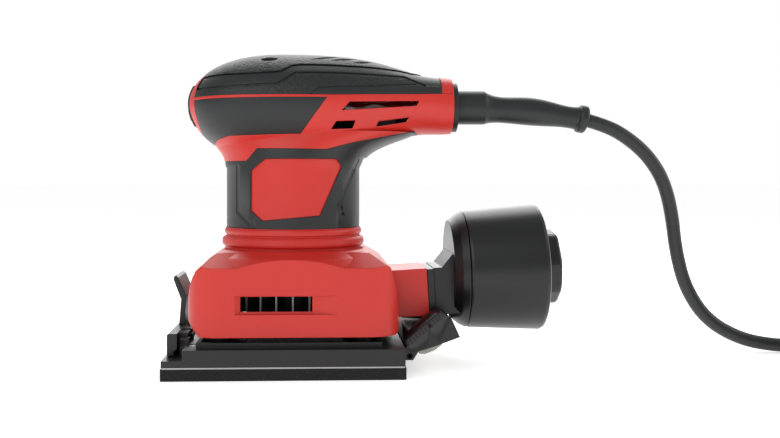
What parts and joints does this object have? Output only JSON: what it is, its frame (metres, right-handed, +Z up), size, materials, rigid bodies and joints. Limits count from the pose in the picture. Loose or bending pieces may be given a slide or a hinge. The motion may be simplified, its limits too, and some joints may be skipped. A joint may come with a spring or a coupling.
{
  "type": "orbital sander",
  "caption": "Corded palm sander with a square orbiting pad, lever paper clamps, a slide-off dust canister, a nose rocker switch and a tapered cord guard.",
  "frame": {"origin": "where the motor shaft axis meets the underside of the pad, at rest", "axes": "+Z up along the motor shaft, +X from the nose to the cord, +Y to the left of someone looking from the nose along +X"},
  "size_m": [0.4009, 0.1435, 0.1531],
  "materials": {
    "body_plastic": "fine moulded texture, satin",
    "grip_rubber": "soft overmould, satin",
    "black_plastic": "moulded, satin",
    "platen_metal": "black coated casting",
    "foam": "dense cellular foam",
    "bright_metal": "ground steel",
    "copper": "enamelled copper",
    "laminations": "stacked sheet steel",
    "cord_rubber": "matt cord jacket",
    "brass": "plain brass",
    "carbon": "pressed carbon",
    "filter_paper": "pleated filter paper"
  },
  "bodies": {
    "housing": {"motor_housing": "body_plastic", "top_cover": "body_plastic", "base_housing": "body_plastic", "side_badges": "body_plastic", "top_grip": "grip_rubber", "head_grip": "grip_rubber", "column_grip": "grip_rubber", "flex_legs": "grip_rubber", "dust_seals": "foam", "bearing_plate": "black_plastic", "upper_bracket": "black_plastic", "switch_bezel": "black_plastic", "switch_body": "black_plastic", "cord_clamp": "black_plastic", "long_screws": "bright_metal", "lower_bearing": "bright_metal", "upper_bearing": "bright_metal", "stator_core": "laminations", "field_coils": "copper", "brush_holders": "brass", "brushes": "carbon", "brush_springs": "bright_metal", "capacitor": "filter_paper", "lead_wires": "cord_rubber", "cord_boot": "cord_rubber", "cord_tube": "cord_rubber", "cord_coil": "cord_rubber", "plug_body": "cord_rubber", "plug_blades": "brass"},
    "rotor": {"armature_shaft": "bright_metal", "armature_core": "laminations", "armature_windings": "copper", "commutator": "copper", "cooling_fan": "black_plastic", "eccentric": "bright_metal"},
    "platen": {"platen": "platen_metal", "backing_plate": "bright_metal", "foam_pad": "foam", "backing_screws": "bright_metal", "eccentric_bearing": "bright_metal", "bearing_retainer": "bright_metal", "clamp_pins": "bright_metal", "clamp_springs": "bright_metal"},
    "front_clamp": {"front_jaw": "black_plastic", "front_lever": "black_plastic"},
    "rear_clamp": {"rear_lever": "black_plastic", "rear_jaw_pad": "filter_paper"},
    "canister": {"canister_neck": "black_plastic", "canister_filter": "filter_paper"},
    "barrel": {"canister_barrel": "black_plastic", "canister_cap": "black_plastic"},
    "rocker": {"switch_rocker": "black_plastic"}
  },
  "joints": [
    {"name": "rotor_spin", "type": "hinge", "parent": "housing", "child": "rotor", "pos_m": [0, 0, 0.06], "axis": [0, 0, 1], "continuous": true},
    {"name": "platen_orbit", "type": "hinge", "parent": "rotor", "child": "platen", "pos_m": [-0.0012, 0, 0.012], "axis": [0, 0, 1], "continuous": true},
    {"name": "front_clamp_press", "type": "hinge", "parent": "platen", "child": "front_clamp", "pos_m": [-0.0505, 0, 0.0144], "axis": [0, 1, 0], "range_deg": [0, 3.5], "stiffness_Nm_per_rad": 1.2, "springref_deg": -11.46},
    {"name": "rear_clamp_press", "type": "hinge", "parent": "platen", "child": "rear_clamp", "pos_m": [0.0551, 0, 0.0084], "axis": [0, 1, 0], "range_deg": [0, 20], "stiffness_Nm_per_rad": 0.6, "springref_deg": -22.92},
    {"name": "canister_slide", "type": "slide", "parent": "housing", "child": "canister", "axis": [0.9982, 0, 0.0593], "range_m": [0, 0.016]},
    {"name": "barrel_pull", "type": "slide", "parent": "canister", "child": "barrel", "axis": [0.9996, 0, 0.0279], "range_m": [0, 0.032]},
    {"name": "switch_rock", "type": "hinge", "parent": "housing", "child": "rocker", "pos_m": [-0.0441, 0, 0.1268], "axis": [0, 1, 0], "range_deg": [-12, 0]}
  ],
  "couplings": [
    {"joint": "platen_orbit", "follows": "rotor_spin", "ratio": -1}
  ]
}
